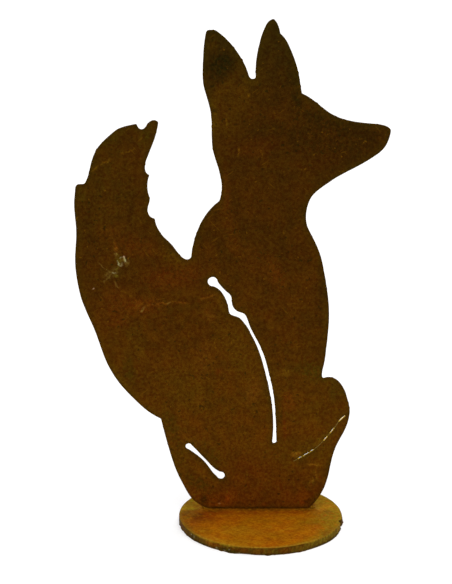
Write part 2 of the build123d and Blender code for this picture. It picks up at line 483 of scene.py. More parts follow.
def spatter():
    """Balls of weld metal that stuck to the plate and the sheet beside the beads."""
    draw = random.Random(11)
    balls = bmesh.new()
    back = SHEET_FRONT + SHEET_THICKNESS
    for bead_x, count in ((-0.037, 26), (0.036, 20)):
        for _ in range(count):
            radius = draw.uniform(0.25, 0.65) * MM
            x = bead_x + draw.gauss(0, 9) * MM
            if draw.random() < 0.25:
                on_sheet = min(max(x, SPATTER_SPAN[0]), SPATTER_SPAN[1])
                place = Vector((on_sheet, back, BASE_TOP + draw.uniform(4, 16) * MM))
            elif draw.random() < 0.3:
                place = Vector((x, SHEET_FRONT - draw.uniform(2, 12) * MM, BASE_TOP))
            else:
                place = Vector((x, back + draw.uniform(4, 14) * MM, BASE_TOP))
            if place.xy.length > BASE_RADIUS - 2 * MM:
                continue
            turn = Euler((0, 0, draw.uniform(0, 3)))
            shape = Matrix.LocRotScale(place, turn, Vector((1.3, 1, 0.85)))
            bmesh.ops.create_icosphere(balls, subdivisions=2, radius=radius, matrix=shape)
    mesh = bpy.data.meshes.new("weld_spatter")
    balls.to_mesh(mesh)
    balls.free()
    mesh.shade_smooth()
    piece = bpy.data.objects.new("weld_spatter", mesh)
    bpy.context.scene.collection.objects.link(piece)
    return piece


# ---------------------------------------------------------------- materials


class Shader:
    """A material's node tree, with short names for the nodes that the materials here share."""

    def __init__(self, name):
        self.material = bpy.data.materials.new(name)
        self.material.use_nodes = True
        self.tree = self.material.node_tree
        self.surface = self.tree.nodes["Principled BSDF"]
        self.place = self.node("ShaderNodeTexCoord").outputs["Object"]

    def node(self, kind, sockets=None, **settings):
        made = self.tree.nodes.new(kind)
        for key, value in settings.items():
            setattr(made, key, value)
        for key, value in (sockets or {}).items():
            self.feed(made.inputs[key], value)
        return made

    def feed(self, socket, value):
        if isinstance(value, bpy.types.NodeSocket):
            self.tree.links.new(value, socket)
        else:
            socket.default_value = value

    def set(self, **sockets):
        for key, value in sockets.items():
            self.feed(self.surface.inputs[key.replace("_", " ")], value)

    def moved(self, scale=(1, 1, 1), origin=(0, 0, 0)):
        mapping = {"Vector": self.place, "Scale": scale, "Location": origin}
        return self.node("ShaderNodeMapping", mapping).outputs[0]

    def stretched(self, lengths, turn):
        """The place in turned axes, so that a noise on it is lengthened along each by its factor."""
        return self.node("ShaderNodeMapping", {"Vector": self.place, "Scale": lengths, "Rotation": turn},
                         vector_type="TEXTURE").outputs[0]

    def noise(self, size, detail, roughness, where):
        """Noise from 0 to 1 whose largest bumps are about size across."""
        return self.node("ShaderNodeTexNoise", {
            "Vector": where, "Scale": 1 / size, "Detail": detail, "Roughness": roughness,
        }).outputs["Fac"]

    def wandering(self, size, reach):
        """The place, pushed about by up to reach, so that what is drawn on it has an uneven edge."""
        push = self.node("ShaderNodeTexNoise", {
            "Vector": self.place, "Scale": 1 / size, "Detail": 2, "Roughness": 0.6,
        }).outputs["Color"]
        push = self.vector_math("SUBTRACT", {0: push, 1: (0.5, 0.5, 0.5)})
        push = self.vector_math("SCALE", {0: push, "Scale": 2 * reach})
        return self.vector_math("ADD", {0: self.place, 1: push})

    def math(self, operation, a, b):
        return self.node("ShaderNodeMath", {0: a, 1: b}, operation=operation).outputs[0]

    def vector_math(self, operation, sockets):
        return self.node("ShaderNodeVectorMath", sockets, operation=operation).outputs[0]

    def spread(self, value, low, high, to_low=0.0, to_high=1.0, linear=False):
        """value mapped from low..high to to_low..to_high, smoothly unless linear, held beyond them."""
        return self.node("ShaderNodeMapRange", {
            "Value": value, "From Min": low, "From Max": high, "To Min": to_low, "To Max": to_high,
        }, interpolation_type="LINEAR" if linear else "SMOOTHSTEP").outputs[0]

    def mix(self, share, a, b, blend="MIX"):
        made = self.node("ShaderNodeMix", data_type="RGBA", blend_type=blend)
        self.feed(made.inputs[0], share)
        for socket, value in ((made.inputs[6], a), (made.inputs[7], b)):
            self.feed(socket, value if isinstance(value, bpy.types.NodeSocket) else (*value, 1))
        return made.outputs[2]

    def tint(self, colour, amount, dark, light):
        """A colour times dark where amount is 0, and times light where it is 1."""
        return self.mix(1.0, colour, self.mix(amount, dark, light), "MULTIPLY")

    def ramp(self, amount, stops):
        made = self.node("ShaderNodeValToRGB", {"Fac": amount})
        ramp = made.color_ramp
        for at, colour in stops[1:-1]:
            ramp.elements.new(at).color = (*colour, 1)
        ramp.elements[0].color = (*stops[0][1], 1)
        ramp.elements[-1].color = (*stops[-1][1], 1)
        return made.outputs["Color"]

    def attribute(self, name):
        return self.node("ShaderNodeAttribute", attribute_name=name).outputs["Fac"]

    def drag_lines(self, width, lag, length):
        """The uneven lines that the torch leaves on a cut, from 0 to 1. They trail by lag over the
        cut's depth, and each is about length times that depth long."""
        share = self.attribute("depth_share")
        along = self.math("ADD", self.attribute("edge_along"), self.math("MULTIPLY", share, lag))
        down = self.math("MULTIPLY", share, width / length)
        where = self.node("ShaderNodeCombineXYZ", {0: along, 1: down}).outputs[0]
        return self.spread(self.noise(width, 2, 0.5, where), 0.3, 0.7)

    def spot(self, where, centre, half_sizes, turn):
        """1 at a place, falling to 0 at the surface of a turned ellipsoid round it."""
        mapped = self.node("ShaderNodeMapping", {
            "Vector": where, "Location": centre, "Rotation": turn, "Scale": half_sizes,
        }, vector_type="TEXTURE").outputs[0]
        fading = self.node("ShaderNodeTexGradient", {"Vector": mapped}, gradient_type="SPHERICAL")
        return fading.outputs["Fac"]

    def laid(self, colour, paint, spot, strength, breakup):
        """colour with paint laid over it at a spot, its cover broken up by a noise."""
        cover = self.math("MULTIPLY", self.spread(spot, 0, 0.8, 0, strength), breakup)
        return self.mix(cover, colour, paint)

    def flat_marks(self, colour, marks, where, breakup, up):
        """colour with marks on the fox's front, where up is 2, or on the plate's top, where up is 1."""
        for paint, (u, v), half_length, half_width, slope, strength in marks:
            slope = math.radians(slope)
            if up == 2:
                centre = (u, SHEET_FRONT / MM, v)
                sizes = (half_length, MARK_DEPTH, half_width)
                turn = (0, -slope, 0)
            else:
                centre = (u, v, BASE_TOP / MM)
                sizes = (half_length, half_width, MARK_DEPTH)
                turn = (0, 0, slope)
            spot = self.spot(where, [c * MM for c in centre], [c * MM for c in sizes], turn)
            colour = self.laid(colour, paint, spot, strength, breakup)
        return colour

    def rim_marks(self, colour, marks, where, breakup):
        """colour with marks on the plate's rim; a long mark reaches deeper, to follow the rim's curve."""
        for paint, (angle, height), half_length, half_height, strength in marks:
            angle = math.radians(angle)
            centre = (BASE_RADIUS * math.cos(angle), BASE_RADIUS * math.sin(angle), height * MM)
            depth = MARK_DEPTH + half_length ** 2 * MM / (2 * BASE_RADIUS)
            sizes = [c * MM for c in (depth, half_length, half_height)]
            spot = self.spot(where, centre, sizes, (0, 0, angle))
            colour = self.laid(colour, paint, spot, strength, breakup)
        return colour

    def bump(self, height, distance):
        sockets = {"Height": height, "Distance": distance, "Strength": 1.0}
        return self.node("ShaderNodeBump", sockets).outputs[0]


MARK_DEPTH = 1.9  # millimetres that a mark reaches into the metal, so that it stays on its own face
FACES_APART = 12  # squeezes the noise through a plate's thickness, so that its two faces differ

# The fox's patina from foot to ears, with painted light: lighter towards the foot, where the floor's
# bounce would light it
PATINA_AND_FLOOR_LIGHT_FROM, PATINA_AND_FLOOR_LIGHT_TO = 0.006, 0.38
PATINA_AND_FLOOR_LIGHT = (
    (0.00, (0.118, 0.0285, 0.0016)),
    (0.09, (0.090, 0.0275, 0.0010)),
    (0.24, (0.071, 0.0235, 0.0008)),
    (0.42, (0.057, 0.0180, 0.0007)),
    (0.60, (0.044, 0.0145, 0.0007)),
    (0.84, (0.046, 0.0155, 0.0008)),
    (1.00, (0.028, 0.0130, 0.0010)),
)
OCHRE = (0.130, 0.055, 0.0020)
GOLD = (0.230, 0.090, 0.0050)
TAN = (0.190, 0.110, 0.0180)
UMBER = (0.080, 0.033, 0.0010)
RUST_RED = (0.098, 0.0185, 0.0010)
BLUSH = (0.150, 0.031, 0.0012)
EMBER = (0.150, 0.047, 0.0030)
DUSK = (0.021, 0.0085, 0.0006)
# a dark smut, also laid as painted shade along the foot
SMUT_AND_SHADE = (0.010, 0.008, 0.0010)
OLIVE = (0.040, 0.024, 0.0010)
BARE = (0.270, 0.220, 0.100)
GLINT = (0.420, 0.180, 0.0500)
PALE = (0.400, 0.260, 0.1500)
MOSS = (0.110, 0.080, 0.0060)
# a maroon stain, also laid as painted shade along the foot
MAROON_AND_SHADE = (0.046, 0.0085, 0.0004)
FIRE = (0.210, 0.040, 0.0014)
SCORED = (0.210, 0.135, 0.0280)
SLIT_EDGE = (0.800, 0.560, 0.0700)
DARK_EDGE_BAND = (0.013, 0.0125, 0.0012)
OLIVE_BLOOM = (0.050, 0.0340, 0.0012)
CUT_DARK = (0.026, 0.012, 0.002)
CUT_LIGHT = (0.085, 0.036, 0.004)

# Stains and scuffs on the fox's front, a painted glint, and painted shade along its foot where it meets
# the plate: colour, centre (x, z), half length, half width, slope of the length in degrees, and how
# strongly it covers; sizes in millimetres
FOX_MARKS = (
    (SMUT_AND_SHADE, (-31, 361), 16, 13, 20, 1.0),
    (SMUT_AND_SHADE, (-38, 345), 14, 6, 90, 0.4),
    (SMUT_AND_SHADE, (-31, 349), 9, 7, 0, 0.4),
    (UMBER, (-37, 374), 6, 5, 0, 0.3),
    (UMBER, (-38, 322), 34, 8, 92, 0.55),
    (UMBER, (-14, 345), 12, 6, 60, 0.5),
    (UMBER, (-21, 333), 18, 15, 60, 0.35),
    (SMUT_AND_SHADE, (-35, 357), 14, 10, 70, 0.5),
    (DUSK, (55, 303), 62, 34, -8, 0.8),
    (DUSK, (5, 305), 32, 18, 5, 0.8),
    (DUSK, (9, 333), 12, 12, 0, 0.6),
    (DUSK, (83, 308), 22, 12, -8, 0.5),
    (DUSK, (62, 317), 32, 7, -18, 0.6),
    (DUSK, (-44, 352), 28, 6, 92, 0.6),
    (DUSK, (3, 372), 24, 5, 74, 0.35),
    (DUSK, (-27, 372), 22, 5, -52, 0.4),
    (DUSK, (36, 248), 26, 6, 80, 0.3),
    (DUSK, (53, 288), 18, 8, 20, 0.3),
    (UMBER, (-27, 316), 14, 12, 90, 0.35),
    (DUSK, (24, 340), 36, 12, 110, 0.4),
    (DUSK, (-31, 291), 18, 9, 90, 0.2),
    (DUSK, (42, 270), 20, 9, 30, 0.1),
    (DUSK, (42, 232), 18, 5, 115, 0.4),
    (DUSK, (42, 138), 16, 8, 100, 0.3),
    (DUSK, (55, 42), 22, 5, 68, 0.45),
    (SMUT_AND_SHADE, (42, 320), 30, 8, -20, 0.4),
    (SMUT_AND_SHADE, (22, 352), 24, 7, 105, 0.35),
    (SMUT_AND_SHADE, (26, 333), 10, 4, -50, 0.6),
    (OCHRE, (-11, 337.5), 3, 1.5, 60, 0.9),
    (OCHRE, (-27, 318), 6, 1.1, 88, 0.8),
    (OCHRE, (-37, 314), 6, 1.2, 95, 0.7),
    (OCHRE, (-18, 295), 5, 1.0, 82, 0.9),
    (OCHRE, (-0.5, 294), 5, 1.0, 115, 0.9),
    (RUST_RED, (-2, 300), 28, 12, 10, 0.3),
    (RUST_RED, (45, 288), 30, 9, 15, 0.15),
    (DUSK, (48, 180), 56, 9, 92, 0.6),
    (DUSK, (2, 152), 34, 9, -63, 0.35),
    (BLUSH, (-2, 210), 42, 17, -38, 0.12),
    (BLUSH, (-24, 236), 30, 9, 100, 0.16),
    (BLUSH, (12, 198), 26, 8, 110, 0.2),
    (OLIVE_BLOOM, (-116, 262), 64, 28, 85, 0.22),
    (OLIVE_BLOOM, (-88, 307), 14, 6, 65, 0.45),
    (OLIVE_BLOOM, (-138, 262), 10, 6, 100, 0.4),
    (OLIVE_BLOOM, (-112, 306), 16, 8, 35, 0.3),
    (UMBER, (-113, 117), 34, 7, 125, 0.55),
    (UMBER, (50, 165), 18, 4, 92, 0.5),
    (OCHRE, (-30, 176), 14, 4, -58, 0.3),
    (UMBER, (-98, 148), 34, 8, 108, 0.4),
    (UMBER, (-29, 342), 18, 6, 50, 0.5),
    (UMBER, (-7, 348), 6, 5, 0, 0.5),
    (RUST_RED, (-28, 268), 24, 6, 95, 0.35),
    (BLUSH, (-98, 222), 30, 14, -20, 0.25),
    (BLUSH, (-118, 234), 16, 10, 20, 0.2),
    (UMBER, (-94, 244), 10, 8, 90, 0.4),
    (UMBER, (-68, 211), 20, 9, -40, 0.7),
    (TAN, (-116, 201), 9, 5, 30, 0.45),
    (TAN, (-103.5, 210), 4, 3.4, 90, 0.5),
    (BLUSH, (-92, 175), 24, 12, 5, 0.4),
    (RUST_RED, (-111, 162), 16, 7, 0, 0.4),
    (RUST_RED, (-70, 198), 40, 16, 8, 0.5),
    (RUST_RED, (-112, 180), 22, 16, 90, 0.35),
    (TAN, (-122, 206), 8, 1.1, -41, 0.6),
    (TAN, (-119.7, 196.4), 6, 1.3, 40, 0.4),
    (EMBER, (-112.5, 222), 7, 2.6, 96, 1.0),
    (MOSS, (-111, 213), 4, 3, 90, 0.5),
    (MOSS, (-108, 210.5), 6, 4, 50, 0.7),
    (TAN, (-112.6, 215.8), 3.0, 1.6, 95, 0.8),
    (BARE, (-110.6, 208.6), 3.8, 1.3, -68, 1.0),
    (BARE, (-107.6, 207.9), 3.8, 1.2, 42, 0.7),
    (TAN, (-106.6, 211.6), 2.8, 2.2, 50, 0.8),
    (BARE, (-108.2, 213.2), 1.9, 1.2, 25, 0.9),
    (BARE, (-105.1, 211.8), 3.4, 1.2, -66, 1.0),
    (PALE, (-106, 214), 1.7, 1.2, 60, 1.0),
    (SMUT_AND_SHADE, (-103.6, 213.2), 1.8, 1.2, 90, 0.6),
    (MOSS, (-112, 203.8), 4.5, 1.8, 52, 0.5),
    (MOSS, (-112.6, 198.9), 3.6, 1.8, -15, 0.7),
    (BARE, (-114.3, 201), 3.2, 1.1, 5, 0.9),
    (TAN, (-112, 192), 4, 1.2, -48, 0.45),
    (OCHRE, (-105, 185.6), 9, 1.4, -36, 0.55),
    (EMBER, (-96.5, 175), 9, 2.0, 105, 0.4),
    (PALE, (-129.3, 188.5), 1.0, 0.9, 0, 1.0),
    (TAN, (-92.3, 171.8), 4, 1.2, 55, 0.7),
    (EMBER, (-78, 176.6), 15, 1.4, 7, 0.7),
    (TAN, (-84, 176.2), 1.6, 1.0, 0, 0.7),
    (TAN, (-72, 177), 2.4, 1.0, 5, 0.6),
    (EMBER, (-61, 177.7), 9, 1.2, 0, 0.6),
    (EMBER, (-42, 182), 13, 1.8, 18, 0.5),
    (OCHRE, (-30.5, 182), 5, 2.4, -40, 0.6),
    (OCHRE, (-127, 282), 7, 1.1, 38, 0.6),
    (OCHRE, (-118, 287.5), 8, 1.1, 28, 0.7),
    (OCHRE, (-103, 295), 9, 1.1, 18, 0.5),
    (OLIVE, (-104, 124), 18, 7, 100, 0.6),
    (OCHRE, (-37, 144.7), 6, 1.2, 60, 0.8),
    (OCHRE, (-44, 134), 2, 1.6, 0, 0.9),
    (EMBER, (-45, 130), 24, 10, 80, 0.3),
    (EMBER, (-40, 168), 11, 8, -30, 0.35),
    (EMBER, (-48, 98), 8, 7, 0, 0.3),
    (RUST_RED, (-33, 122), 6, 4, 0, 0.5),
    (UMBER, (-18, 138), 44, 18, 115, 0.6),
    (UMBER, (-60, 110), 34, 22, 120, 0.5),
    (EMBER, (-6, 105), 16, 11, 70, 0.45),
    (BLUSH, (22, 97), 13, 8, 90, 0.5),
    (OCHRE, (20, 121), 10, 5, 0, 0.5),
    (OLIVE, (40, 122), 22, 12, -20, 0.8),
    (UMBER, (42, 88), 22, 12, 60, 0.5),
    (RUST_RED, (19, 76), 19, 1.9, 93, 0.8),
    (OLIVE, (-70, 76), 30, 8, 110, 0.6),
    (OLIVE, (-50, 28), 24, 11, -35, 0.65),
    (OLIVE, (-64, 52), 18, 9, 110, 0.4),
    (UMBER, (-60, 73), 6, 4, 0, 0.4),
    (UMBER, (60, 89), 9, 6, 60, 0.4),
    (OLIVE, (-36, 34), 8, 8, 0, 0.4),
    (DUSK, (-28, 28), 16, 7, 60, 0.3),
    (DUSK, (28, 22), 8, 5, 0, 0.3),
    (OLIVE, (-42, 54), 30, 12, -42, 0.5),
    (OLIVE, (60, 106), 15, 11, -60, 0.5),
    (RUST_RED, (-4, 44), 30, 18, 10, 0.6),
    (UMBER, (22, 54), 44, 18, 12, 0.6),
    (BLUSH, (15, 26), 10, 9, 0, 0.4),
    (OLIVE, (43, 32), 17, 9, 60, 0.5),
    (UMBER, (50, 52), 14, 8, 70, 0.6),
    (GOLD, (29, 52.5), 6.5, 3.4, 10, 1.0),
    (OCHRE, (46, 63), 26, 3.6, 42, 0.75),
    (GOLD, (45, 36), 7, 1.6, 98, 0.6),
    (GOLD, (41, 29), 6, 1.5, 58, 0.5),
    (GOLD, (42.5, 43.8), 8, 1.6, -6, 0.6),
    (OCHRE, (26.5, 29), 5, 1.1, 95, 0.7),
    (OCHRE, (-46, 35), 9, 1.5, -28, 0.6),
    (OCHRE, (-10, 56), 4, 1.1, 0, 0.6),
    (RUST_RED, (-31, 40), 5, 3.5, 0, 0.7),
    (BLUSH, (-30, 14), 20, 9, 0, 1.0),
    (SMUT_AND_SHADE, (-45.5, 14), 5, 5.5, 0, 0.8),
    (MAROON_AND_SHADE, (-37, 8), 4, 1.8, 0, 0.5),
    (EMBER, (-31, 10.3), 4, 1.6, -8, 0.8),
    # painted glint: a small bright highlight at the foot
    (GLINT, (-33.4, 10.9), 1.6, 1.1, 10, 1.0),
    (OCHRE, (-52, 18.5), 4, 1.2, 15, 0.7),
    (BLUSH, (34, 14.5), 11, 7, 40, 0.7),
    (SMUT_AND_SHADE, (36, 12.5), 5, 2.2, 0, 0.6),
    (UMBER, (44, 14), 9, 4, 58, 0.7),
    (MAROON_AND_SHADE, (-31, 15.5), 3.5, 4.5, 0, 0.6),
    (MAROON_AND_SHADE, (-16, 10.5), 5, 2.6, 0, 0.8),
    (MAROON_AND_SHADE, (-5, 12), 5, 4, 0, 0.6),
    (MAROON_AND_SHADE, (11, 11), 6, 3, 20, 0.6),
    (MAROON_AND_SHADE, (40, 13.5), 2.6, 3, 0, 0.8),
    (FIRE, (-26, 14.5), 2.8, 6, 0, 0.85),
    (BLUSH, (-38, 10), 5, 2.4, 0, 0.5),
    (FIRE, (34, 11), 3, 4.5, 0, 0.7),
    (FIRE, (3, 9.5), 4, 2.6, 0, 0.6),
    # painted shade: a dark band along the foot where it meets the plate
    (MAROON_AND_SHADE, (0, 7), 48, 2.2, 0, 0.45),
    (FIRE, (-34, 9.5), 13, 3, 0, 0.75),
    # painted shade: dark lines at the very foot, along the plate
    (SMUT_AND_SHADE, (12, 6.1), 34, 1.0, 0, 0.6),
    (MAROON_AND_SHADE, (-32, 6.8), 11, 1.2, 0, 0.7),
)

# The base plate's top; BASE_SHADE is also laid as painted shade along the fox's foot
BASE_RUST = (0.282, 0.084, 0.0010)
BASE_OLIVE = (0.208, 0.124, 0.0024)
BASE_GOLD = (0.330, 0.140, 0.0040)
BASE_RED = (0.188, 0.035, 0.0010)
BASE_SHADE = (0.088, 0.026, 0.0010)
BASE_UMBER = (0.140, 0.062, 0.0030)
BASE_LIP = (0.270, 0.140, 0.0100)
BASE_MARKS = (
    (BASE_OLIVE, (60, -4), 34, 22, 80, 1.0),
    (BASE_OLIVE, (50, 32), 40, 26, 130, 1.0),
    (BASE_GOLD, (53, 15), 10, 5, 10, 1.0),
    (BASE_OLIVE, (52, -28), 22, 9, 60, 0.8),
    (BASE_OLIVE, (-54, 28), 36, 18, 50, 1.0),
    (BASE_OLIVE, (-62, 8), 14, 7, 70, 0.8),
    (BASE_UMBER, (-60, -22), 26, 7, 112, 0.7),
    (BASE_UMBER, (51, -37), 16, 7, 54, 0.8),
    (BASE_SHADE, (-48, -3), 15, 8, 50, 1.0),
    (BASE_SHADE, (-54, 8), 12, 6, 15, 0.5),
    (BASE_RED, (-40, -4), 15, 9, 45, 1.0),
    (BASE_RED, (-46, -11), 15, 8, 35, 0.6),
    (BASE_RED, (-32, -9), 22, 9, 0, 0.5),
    (BASE_OLIVE, (46, 14), 8, 5, 0, 0.6),
    (BASE_LIP, (44, 10), 8, 4, 0, 0.9),
    (BASE_OLIVE, (-58, -9), 6, 6, 0, 0.5),
    (BASE_SHADE, (-46, -15), 16, 9, 20, 0.4),
    (BASE_GOLD, (-18, -59), 16, 4, -12, 0.8),
    (BASE_SHADE, (-53, -11), 13, 10, 60, 0.4),
    (BASE_UMBER, (-57, 1), 12, 8, 90, 0.7),
    (BASE_RED, (28, 3), 15, 5, 0, 0.6),
    (BASE_RED, (-14, 2), 44, 8, 0, 0.8),
    (BASE_RED, (24, 3), 26, 7, 0, 0.5),
    # painted shade along the fox's foot, where it meets the plate
    (BASE_SHADE, (-1, 8.5), 46, 5.5, 0, 0.9),
    (BASE_RED, (-36, 3), 20, 8, 0, 0.8),
    # painted shade beside the foot's left end
    (BASE_SHADE, (-38, 7), 16, 6, 0, 0.75),
    (BASE_OLIVE, (-56, 10), 12, 5, 10, 0.8),
    (BASE_SHADE, (-62, -1), 9, 12, 0, 0.5),
    # painted shade beside the foot's right end
    (BASE_SHADE, (34, 8), 14, 4, 0, 0.8),
    (BASE_GOLD, (40, 2.5), 5, 3, 0, 0.5),
    (BASE_SHADE, (54, 4), 10, 5, -60, 0.5),
    (BASE_GOLD, (22, -9), 16, 5, 0, 0.35),
    (BASE_GOLD, (-14, -34), 34, 15, 0, 0.5),
    (BASE_RED, (-52, -22), 18, 8, -60, 0.2),
    (BASE_RED, (2, -33), 18, 12, 20, 0.25),
    (BASE_GOLD, (14, -34), 26, 1.5, 37, 0.55),
    (BASE_GOLD, (7, -25), 9, 1.5, 50, 0.45),
    (BASE_GOLD, (-20, -30), 26, 2, 32, 0.35),
    (BASE_GOLD, (28, -26), 16, 1.4, 35, 0.35),
    (BASE_GOLD, (-46, -34), 4.5, 2.6, 0, 1.0),
    (BASE_GOLD, (-34, -50), 22, 7, -32, 0.8),
    (BASE_GOLD, (-12, -54), 26, 8, -8, 0.4),
    (BASE_OLIVE, (42, -14), 18, 8, 20, 0.5),
    (BASE_SHADE, (49, -41), 4.5, 2.4, 40, 0.6),
    (BASE_OLIVE, (38, -49), 24, 6, 38, 0.5),
)

# The rim: the torch's cut, brown to olive, with burnt places, painted shade in the nick, and painted
# glints where dross beads catch the light. Centres are an angle in degrees and a height; sizes in
# millimetres along the rim and up it.
RIM_BROWN = (0.100, 0.0320, 0.0018)
RIM_UMBER = (0.085, 0.0440, 0.0030)
RIM_RUST = (0.190, 0.056, 0.0020)
RIM_OLIVE = (0.138, 0.084, 0.0050)
RIM_LIP = (0.230, 0.125, 0.0060)
RIM_DARK = (0.022, 0.017, 0.0020)
RIM_GLINT = (0.300, 0.230, 0.110)
RIM_MARKS = (
    (RIM_UMBER, (-150, 3.5), 26, 5.0, 0.8),
    (RIM_RUST, (-126, 4.2), 11, 3.0, 0.9),
    (RIM_DARK, (-145, 3.0), 9, 3.0, 0.7),
    (RIM_DARK, (-113, 1.6), 14, 2.6, 0.9),
    (RIM_DARK, (-140, 0.8), 20, 1.6, 0.7),
    (RIM_OLIVE, (-38, 3.5), 42, 6.0, 1.0),
    (RIM_LIP, (-21, 4.0), 9, 4.0, 1.0),
    # lighter lines along the rim's top edge: wear, and a painted highlight of the rounded edge
    (RIM_LIP, (-124, 5.9), 46, 1.4, 1.0),
    (RIM_LIP, (-53, 5.8), 9, 1.2, 0.8),
    (RIM_LIP, (-38, 5.9), 26, 1.4, 0.9),
    (RIM_DARK, (-40, 0.8), 24, 1.8, 0.6),
    (RIM_DARK, (-86, 0.6), 3.5, 2.0, 1.0),
    # dark dross, and painted shade inside the nick at -13 degrees
    (RIM_DARK, (-13, 3.5), 4.5, 5.0, 1.0),
    # painted glints where dross beads catch the light
    (RIM_GLINT, (-147, 4.0), 1.4, 1.0, 0.9),
    (RIM_GLINT, (-143.5, 3.4), 1.0, 1.8, 0.9),
    (RIM_GLINT, (-122, 1.8), 1.6, 0.8, 0.8),
    (RIM_GLINT, (-116, 1.4), 1.6, 0.8, 0.8),
    (RIM_GLINT, (-112.5, 2.6), 1.2, 0.8, 0.6),
    (RIM_GLINT, (-106, 0.8), 2.6, 0.7, 0.7),
    (RIM_GLINT, (-100, 0.6), 1.8, 0.6, 0.6),
)


def mottled(s, colour, apart, coarse, fine, contrast=1.0):
    """A rust's colour broken into dark and light grains of two sizes, and the grains' heights."""
    mottle = s.noise(coarse, 3, 0.6, apart)
    grain = s.noise(fine, 2, 0.6, apart)
    for value, dark, light in (
        (mottle, (0.80, 0.66, 0.6), (1.19, 1.36, 1.4)),
        (grain, (0.91, 0.80, 0.7), (1.09, 1.23, 1.3)),
    ):
        dark = [1 + contrast * (c - 1) for c in dark]
        light = [1 + contrast * (c - 1) for c in light]
        colour = s.tint(colour, s.spread(value, 0.3, 0.7), dark, light)
    return colour, s.math("ADD", s.math("MULTIPLY", mottle, 0.7), s.math("MULTIPLY", grain, 0.3))


def sheet_rust():
    """Even brown patina on the fox, lighter towards the foot as painted light from the floor: fine
    mottling, stains and scuffs, a painted glint and painted shade along the foot, darker bands along the
    cuts, and bared metal in the scored line."""
    s = Shader("sheet_rust")
    apart = s.moved(scale=(1, FACES_APART, 1))
    height = s.node("ShaderNodeSeparateXYZ", {0: s.place}).outputs[2]
    colour = s.ramp(s.spread(height, PATINA_AND_FLOOR_LIGHT_FROM, PATINA_AND_FLOOR_LIGHT_TO, linear=True), PATINA_AND_FLOOR_LIGHT)
    patches = s.noise(30 * MM, 3, 0.6, apart)
    drift = s.noise(9 * MM, 3, 0.65, s.moved(scale=(1, FACES_APART, 1), origin=(0.3, 0, 0.1)))
    colour = s.tint(colour, s.spread(patches, 0.3, 0.7), (0.92, 0.98, 1.0), (1.08, 1.00, 1.0))
    colour = s.tint(colour, s.spread(drift, 0.3, 0.7), (0.84, 0.86, 1.0), (1.16, 1.12, 1.0))
    wander = s.wandering(4 * MM, 2.4 * MM)
    breakup = s.spread(s.noise(2.2 * MM, 2, 0.6, apart), 0.30, 0.62, 0.25, 1)
    colour = s.flat_marks(colour, FOX_MARKS, wander, breakup, 2)
    colour, relief = mottled(s, colour, apart, 2.3 * MM, 0.9 * MM)
    for slope, rarity in ((38, 0.80), (-47, 0.81), (10, 0.80)):
        along = s.stretched((11, 1 / FACES_APART, 1), (0, math.radians(-slope), 0))
        scratches = s.spread(s.noise(1.2 * MM, 0, 0.5, along), rarity, rarity + 0.06, 0, 0.35)
        colour = s.mix(scratches, colour, OCHRE)
    for origin, paint, rarity in (((0, 0, 0.7), OCHRE, 0.72), ((0.5, 0, 0.2), SMUT_AND_SHADE, 0.68)):
        specks = s.noise(3.1 * MM, 1, 0.4, s.moved(scale=(1, FACES_APART, 1), origin=origin))
        colour = s.mix(s.spread(specks, rarity, rarity + 0.08, 0, 0.6), colour, paint)

    gap = s.attribute("edge_gap")
    colour = s.mix(s.spread(gap, 2 * MM, 7 * MM, 0.14, 0), colour, OLIVE_BLOOM)
    # darker towards the cuts, fading out 3.2 mm in
    near_cut_dark = s.spread(gap, 0.3 * MM, 3.2 * MM, 0.45, 0)
    colour = s.mix(s.math("MULTIPLY", near_cut_dark, breakup), colour, DARK_EDGE_BAND)
    on_cut = s.attribute("cut_face")
    drag = s.drag_lines(0.9 * MM, 1.2 * MM, 1.5)
    colour = s.mix(on_cut, colour, s.mix(drag, CUT_DARK, CUT_LIGHT))
    lighter_edge = s.math("MULTIPLY", s.spread(gap, 0, 0.25 * MM, 0.5, 0), s.spread(on_cut, 0, 1, 1, 0))
    colour = s.mix(s.math("MULTIPLY", lighter_edge, breakup), colour, OCHRE)

    by_slit = s.spread(gap, 0.1 * MM, 0.9 * MM, 1, 0)
    bared = s.mix(by_slit, SCORED, SLIT_EDGE)
    scored = s.spread(s.attribute("scored"), 0.1, 0.5, 0, 1)
    colour = s.mix(s.math("MULTIPLY", scored, s.math("MAXIMUM", breakup, by_slit)), colour, bared)

    s.set(Base_Color=colour, Roughness=s.spread(relief, 0.3, 0.7, 0.92, 0.74),
          Specular_IOR_Level=0.06, Specular_Tint=(1.0, 0.45, 0.08, 1))
    grooves = s.math("MULTIPLY", s.math("MULTIPLY", drag, on_cut), 0.5)
    s.set(Normal=s.bump(s.math("ADD", relief, grooves), 0.12 * MM))
    return s.material


